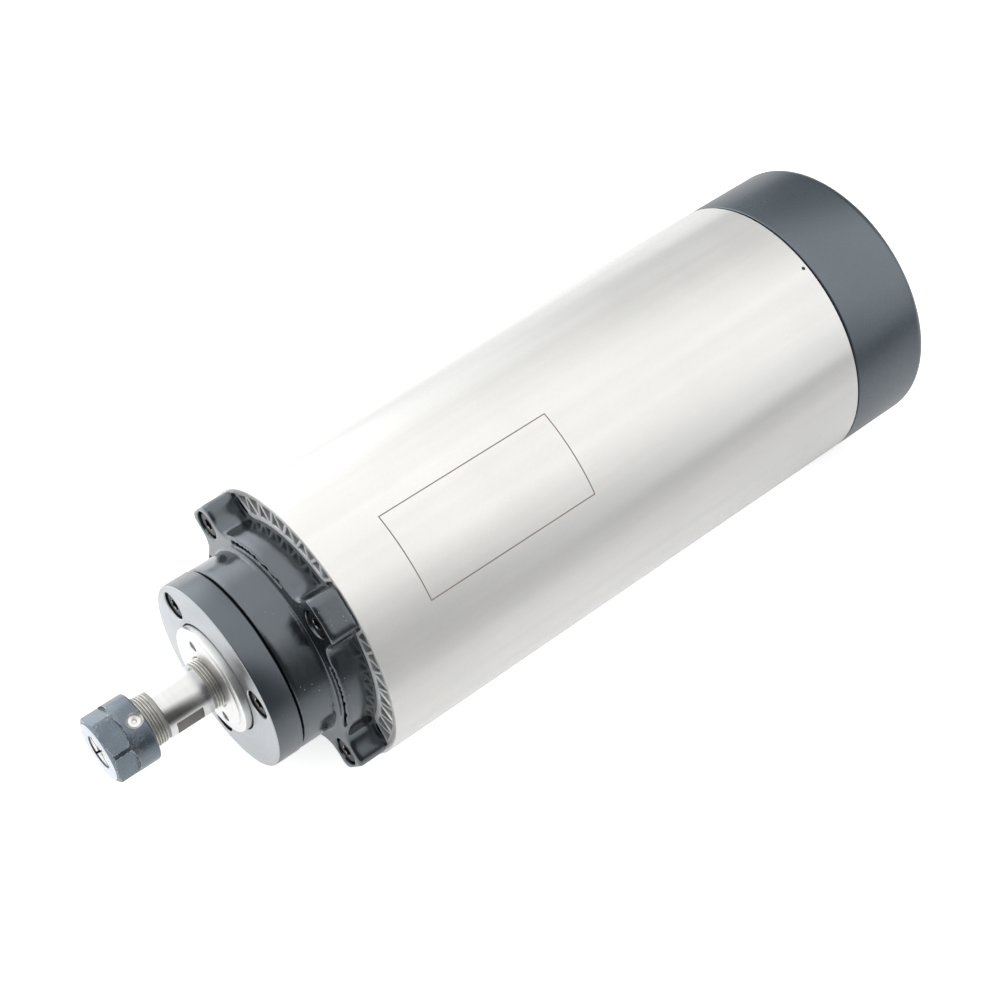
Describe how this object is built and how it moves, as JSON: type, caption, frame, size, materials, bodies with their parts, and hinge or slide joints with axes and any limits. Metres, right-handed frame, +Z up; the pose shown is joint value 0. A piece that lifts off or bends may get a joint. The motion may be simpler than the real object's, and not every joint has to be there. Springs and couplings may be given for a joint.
{
  "type": "motor spindle",
  "caption": "Round air-cooled motor spindle with a collet nose, a lugged front casting round a ring of air channels, and a rear cover with a fan and an electrical receptacle.",
  "frame": {"origin": "on the spindle axis, half way along the clamped barrel", "axes": "+Y along the spindle axis from the nose to the rear cover, +Z up as the spindle lies"},
  "size_m": [0.08, 0.2622, 0.08],
  "materials": {
    "stainless": "satin, fine lengthwise grain",
    "jacket_aluminium": "extruded, sawn ends",
    "casting_black": "glossy black paint on a die casting",
    "dark_anodised": "satin dark blue-grey anodising",
    "black_oxide": "black oxide, worn at the edges",
    "ground_steel": "ground and turned",
    "screw_black": "black oxide",
    "lamination": "stacked sheet edges",
    "copper": "varnished wire",
    "black_plastic": "moulded",
    "brass": "machined",
    "nickel": "satin nickel plating",
    "lead_red": "silicone insulation"
  },
  "bodies": {
    "housing": {"outer_sleeve": "stainless", "cooling_jacket": "jacket_aluminium", "stator_core": "lamination", "stator_windings": "copper", "front_housing": "casting_black", "housing_screws": "screw_black", "front_cap": "dark_anodised", "front_cap_screws": "screw_black", "front_bearing_outer_rings": "ground_steel", "rear_shield": "jacket_aluminium", "rear_bearing_outer_ring": "ground_steel", "preload_spring": "ground_steel", "rear_cover": "dark_anodised", "rear_cover_screws": "screw_black", "receptacle_shell": "nickel", "receptacle_nut": "nickel", "receptacle_insulator": "black_plastic", "receptacle_pins": "brass", "lead_wires": "lead_red"},
    "rotor": {"shaft": "ground_steel", "lock_ring": "ground_steel", "front_bearing_inner_rings": "ground_steel", "rear_bearing_inner_ring": "ground_steel", "rotor_core": "lamination", "rotor_end_rings": "jacket_aluminium", "cooling_fan": "black_plastic", "fan_circlip": "ground_steel"},
    "front_cage": {"front_bearing_balls": "ground_steel", "front_bearing_cages": "brass"},
    "rear_cage": {"rear_bearing_balls": "ground_steel", "rear_bearing_cage": "brass"},
    "collet": {"collet": "ground_steel"},
    "nut": {"collet_nut": "black_oxide"}
  },
  "joints": [
    {"name": "spindle_spin", "type": "hinge", "parent": "housing", "child": "rotor", "pos_m": [0, 0, 0], "axis": [0, 1, 0], "continuous": true},
    {"name": "front_cage_spin", "type": "hinge", "parent": "housing", "child": "front_cage", "pos_m": [0, 0, 0], "axis": [0, 1, 0], "continuous": true},
    {"name": "rear_cage_spin", "type": "hinge", "parent": "housing", "child": "rear_cage", "pos_m": [0, 0, 0], "axis": [0, 1, 0], "continuous": true},
    {"name": "collet_slide", "type": "slide", "parent": "rotor", "child": "collet", "axis": [0, -1, 0], "range_m": [0, 0.00751]},
    {"name": "nut_turn", "type": "hinge", "parent": "collet", "child": "nut", "pos_m": [0, 0, 0], "axis": [0, -1, 0], "range_deg": [0, 3600]}
  ],
  "couplings": [
    {"joint": "front_cage_spin", "follows": "spindle_spin", "ratio": 0.4022},
    {"joint": "rear_cage_spin", "follows": "spindle_spin", "ratio": 0.3682},
    {"joint": "collet_slide", "follows": "nut_turn", "m_per_rad": 0.00011937}
  ]
}
